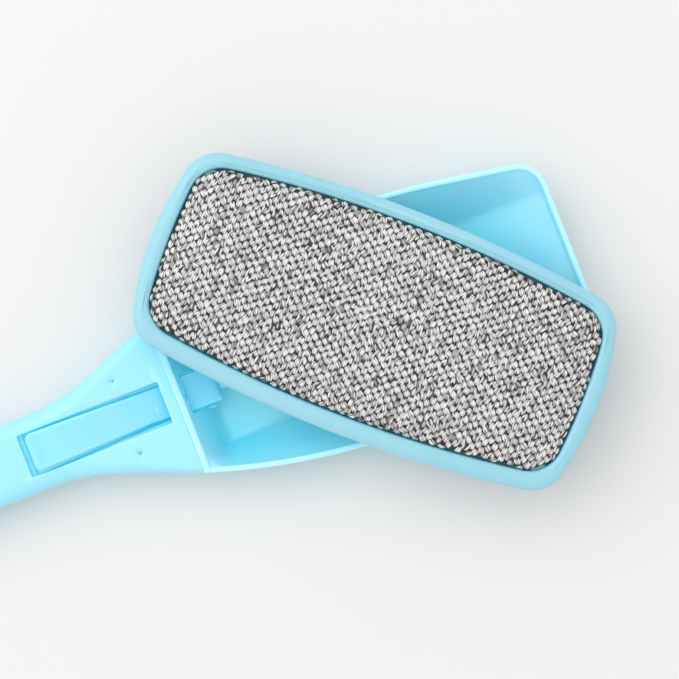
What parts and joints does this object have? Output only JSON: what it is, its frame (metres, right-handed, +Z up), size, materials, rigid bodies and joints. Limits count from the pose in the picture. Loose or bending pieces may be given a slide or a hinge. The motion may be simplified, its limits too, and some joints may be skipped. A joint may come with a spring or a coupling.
{
  "type": "clothes brush",
  "caption": "Rotary lint brush: a domed lint-cloth pad in a framed head that swivels over a tray-shaped shell, with a thumb lever set into the flat handle.",
  "frame": {"origin": "on the resting plane, directly below the head's swivel axis", "axes": "+Z up out of the lint pad, +X towards the tip of the tray, -X towards the end of the handle"},
  "size_m": [0.2839, 0.1395, 0.0333],
  "materials": {
    "shell_plastic": "glossy moulded plastic, sky blue, slightly translucent",
    "cover_plastic": "glossy moulded plastic, pale aqua blue",
    "lever_plastic": "glossy moulded plastic, pale sky blue",
    "head_plastic": "satin-gloss moulded plastic, sky blue",
    "white_plastic": "natural white acetal",
    "board_plastic": "grey board",
    "pad_foam": "open-cell foam, cream",
    "lint_cloth": "silver-grey directional lint cloth with bright tufts in a diagonal weave",
    "screw_steel": "zinc-plated, cross recess",
    "pin_steel": "turned steel",
    "spring_steel": "drawn spring wire"
  },
  "bodies": {
    "shell": {"back_shell": "shell_plastic", "front_cover": "cover_plastic", "cover_screw_1": "screw_steel", "cover_screw_2": "screw_steel", "cover_screw_3": "screw_steel", "cover_screw_4": "screw_steel", "lever_axle": "pin_steel", "lever_spring": "spring_steel", "swivel_spindle": "pin_steel", "spindle_base_screw_1": "screw_steel", "spindle_base_screw_2": "screw_steel", "spindle_base_screw_3": "screw_steel", "bearing_washer": "white_plastic", "retaining_washer": "pin_steel", "spindle_top_screw": "screw_steel"},
    "head": {"head_pan": "head_plastic", "head_bezel": "head_plastic", "head_screw_1": "screw_steel", "head_screw_2": "screw_steel", "head_screw_3": "screw_steel", "head_screw_4": "screw_steel", "index_disc": "white_plastic", "index_screw_1": "screw_steel", "index_screw_2": "screw_steel", "pad_board": "board_plastic", "foam_pad": "pad_foam", "lint_fabric": "lint_cloth"},
    "lever": {"trigger_lever": "lever_plastic", "pawl_arm": "lever_plastic", "pawl_pin": "lever_plastic"}
  },
  "joints": [
    {"name": "head_swivel", "type": "hinge", "parent": "shell", "child": "head", "pos_m": [0, 0, 0.02], "axis": [0, 0, 1], "continuous": true},
    {"name": "lever_press", "type": "hinge", "parent": "shell", "child": "lever", "pos_m": [-0.087, 0, 0.009], "axis": [0, -1, 0], "range_deg": [0, 3.5], "stiffness_Nm_per_rad": 0.4, "springref_deg": -6.88, "deforming": ["lever_spring"]}
  ]
}
